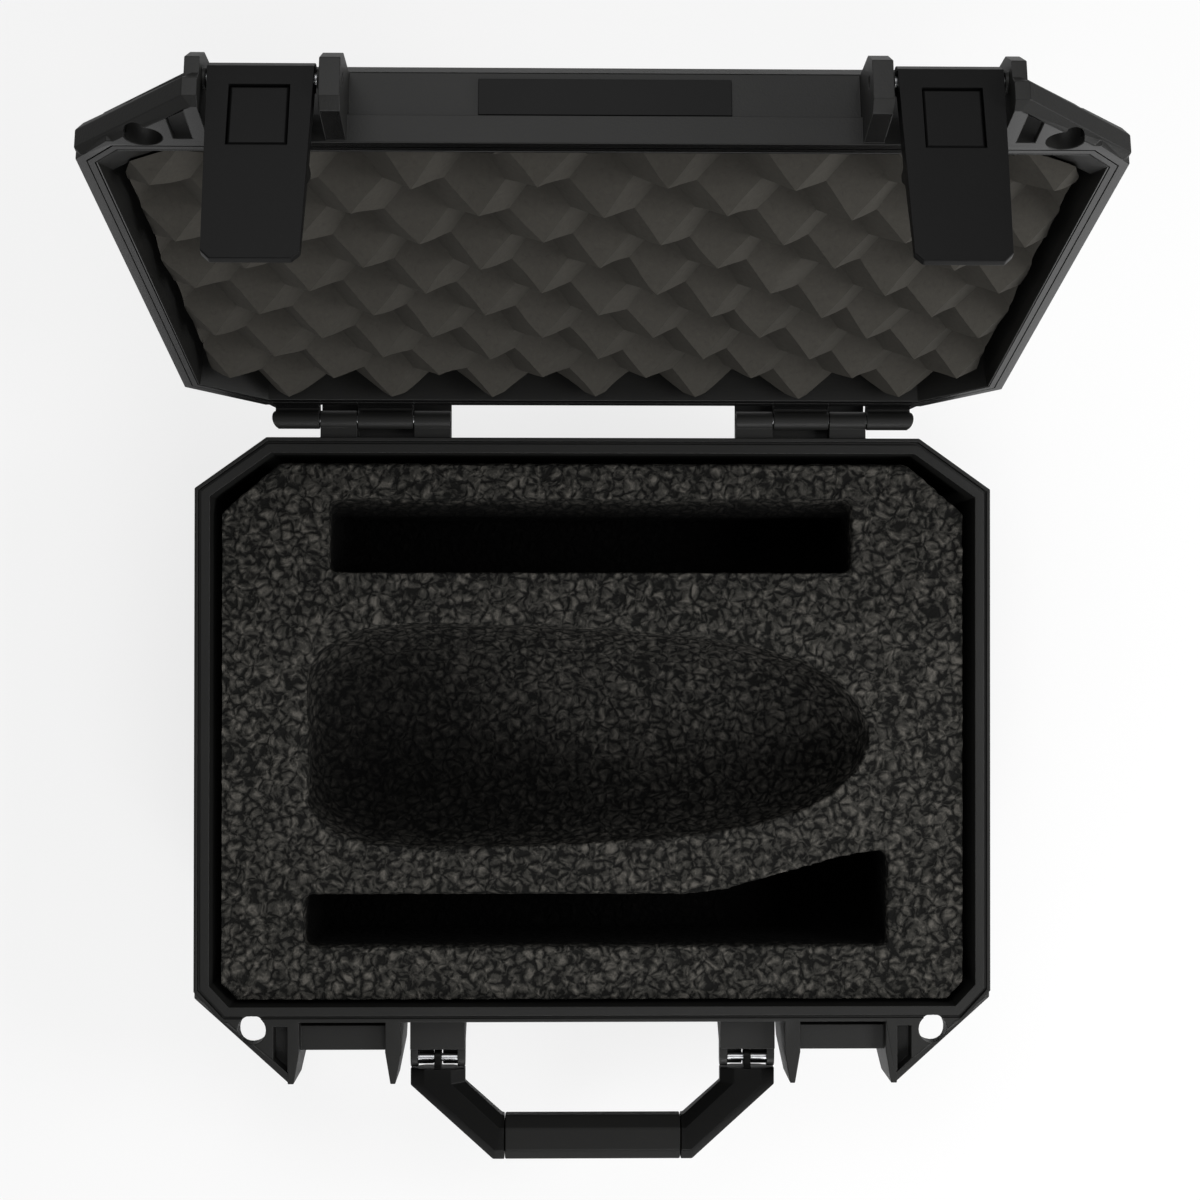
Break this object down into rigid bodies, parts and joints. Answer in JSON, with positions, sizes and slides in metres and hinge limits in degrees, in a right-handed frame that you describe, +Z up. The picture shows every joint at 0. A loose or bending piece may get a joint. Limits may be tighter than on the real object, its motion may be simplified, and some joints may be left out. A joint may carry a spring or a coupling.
{
  "type": "hard carry case",
  "caption": "Rectangular hard plastic carry case, open, with hinged lid, push-button latches, fold-down handle, cut foam in the tub and egg-crate foam in the lid.",
  "frame": {"origin": "middle of the tub's flat underside, which rests on the floor", "axes": "+Z up, +X to the right of someone who faces the latches and handle, +Y towards the hinge; the handle points along -Y and the lid stands open at the back"},
  "size_m": [0.39, 0.4726, 0.437],
  "materials": {
    "shell_plastic": "matte",
    "latch_plastic": "satin",
    "soft_rubber": "matte",
    "cut_foam": "matte",
    "crate_foam": "matte",
    "steel_pin": "satin"
  },
  "bodies": {
    "base": {"base_shell": "shell_plastic", "base_foam_floor": "cut_foam", "base_foam_block": "cut_foam", "hinge_pin_left": "steel_pin", "hinge_pin_right": "steel_pin", "handle_pin_left": "steel_pin", "handle_pin_right": "steel_pin"},
    "handle": {"handle_core": "shell_plastic", "handle_grip": "soft_rubber"},
    "lid": {"lid_shell": "shell_plastic", "lid_foam": "crate_foam", "lid_gasket": "soft_rubber", "lid_plate": "latch_plastic", "latch_pin_left": "steel_pin", "latch_pin_right": "steel_pin"},
    "latch_left": {"latch_body_left": "latch_plastic", "latch_spring_left": "steel_pin"},
    "latch_right": {"latch_body_right": "latch_plastic", "latch_spring_right": "steel_pin"},
    "button_left": {"latch_button_left": "latch_plastic"},
    "button_right": {"latch_button_right": "latch_plastic"}
  },
  "joints": [
    {"name": "lid_hinge", "type": "hinge", "parent": "base", "child": "lid", "pos_m": [0, 0.1518, 0.1059], "axis": [-1, 0, 0], "range_deg": [-103.9, 0]},
    {"name": "handle_hinge", "type": "hinge", "parent": "base", "child": "handle", "pos_m": [0, -0.1636, 0.09], "axis": [-1, 0, 0], "range_deg": [-80, 60]},
    {"name": "latch_left_hinge", "type": "hinge", "parent": "lid", "child": "latch_left", "pos_m": [0, 0.24641, 0.40493], "axis": [-1, 0, 0], "range_deg": [-7, 100]},
    {"name": "latch_right_hinge", "type": "hinge", "parent": "lid", "child": "latch_right", "pos_m": [0, 0.24641, 0.40493], "axis": [-1, 0, 0], "range_deg": [-7, 100]},
    {"name": "button_left_slide", "type": "slide", "parent": "latch_left", "child": "button_left", "axis": [0, -0.3567, -0.9342], "range_m": [0, 0.002], "stiffness_N_per_m": 500, "springref_m": -0.002},
    {"name": "button_right_slide", "type": "slide", "parent": "latch_right", "child": "button_right", "axis": [0, -0.3567, -0.9342], "range_m": [0, 0.002], "stiffness_N_per_m": 500, "springref_m": -0.002}
  ]
}
